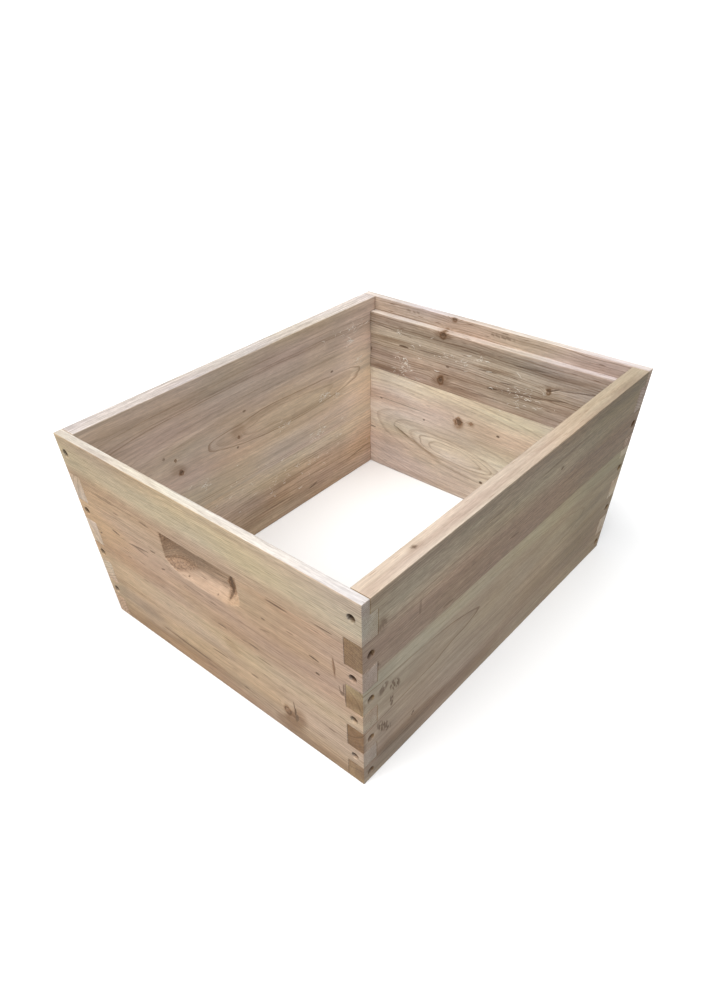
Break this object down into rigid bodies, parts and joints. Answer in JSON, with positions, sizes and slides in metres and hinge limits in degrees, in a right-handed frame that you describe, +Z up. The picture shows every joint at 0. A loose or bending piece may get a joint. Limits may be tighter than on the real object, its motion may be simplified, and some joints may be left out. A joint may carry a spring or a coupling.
{
  "type": "hive box",
  "caption": "Open rectangular wooden hive body with finger-jointed corners, scooped hand holds and a ledge inside each end for hanging frames.",
  "frame": {"origin": "centre of the footprint, on the plane of the bottom rim", "axes": "+Z up from the bottom rim to the top rim, +Y along the long side boards towards the back end board, +X towards the right side board"},
  "size_m": [0.413, 0.505, 0.2445],
  "materials": {
    "wood_front_upper": "planed, unfinished, pale with fine straight lines",
    "wood_front_lower": "planed, unfinished, tan with dark flecks and a knot",
    "wood_back_upper": "rough planed, unfinished, grey-brown heartwood with knots",
    "wood_back_lower": "planed, unfinished, pale with arched figure",
    "wood_right_upper": "planed, unfinished, olive and brown stripes",
    "wood_right_lower": "planed, unfinished, arched figure",
    "wood_left_upper": "planed, unfinished, long oval figure with knots",
    "wood_left_lower": "planed, unfinished, straight brown stripes",
    "screw_metal": "dull yellow zinc"
  },
  "bodies": {
    "root": {"front_upper_plank": "wood_front_upper", "front_lower_plank": "wood_front_lower", "back_upper_plank": "wood_back_upper", "back_lower_plank": "wood_back_lower", "right_upper_plank": "wood_right_upper", "right_lower_plank": "wood_right_lower", "left_upper_plank": "wood_left_upper", "left_lower_plank": "wood_left_lower", "screw_front_left_1": "screw_metal", "screw_front_left_2": "screw_metal", "screw_front_left_3": "screw_metal", "screw_front_left_4": "screw_metal", "screw_front_right_1": "screw_metal", "screw_front_right_2": "screw_metal", "screw_front_right_3": "screw_metal", "screw_front_right_4": "screw_metal", "screw_back_left_1": "screw_metal", "screw_back_left_2": "screw_metal", "screw_back_left_3": "screw_metal", "screw_back_left_4": "screw_metal", "screw_back_right_1": "screw_metal", "screw_back_right_2": "screw_metal", "screw_back_right_3": "screw_metal", "screw_back_right_4": "screw_metal", "screw_left_front_1": "screw_metal", "screw_left_front_2": "screw_metal", "screw_left_front_3": "screw_metal", "screw_left_front_4": "screw_metal", "screw_left_back_1": "screw_metal", "screw_left_back_2": "screw_metal", "screw_left_back_3": "screw_metal", "screw_left_back_4": "screw_metal", "screw_right_front_1": "screw_metal", "screw_right_front_2": "screw_metal", "screw_right_front_3": "screw_metal", "screw_right_front_4": "screw_metal", "screw_right_back_1": "screw_metal", "screw_right_back_2": "screw_metal", "screw_right_back_3": "screw_metal", "screw_right_back_4": "screw_metal"}
  },
  "joints": []
}
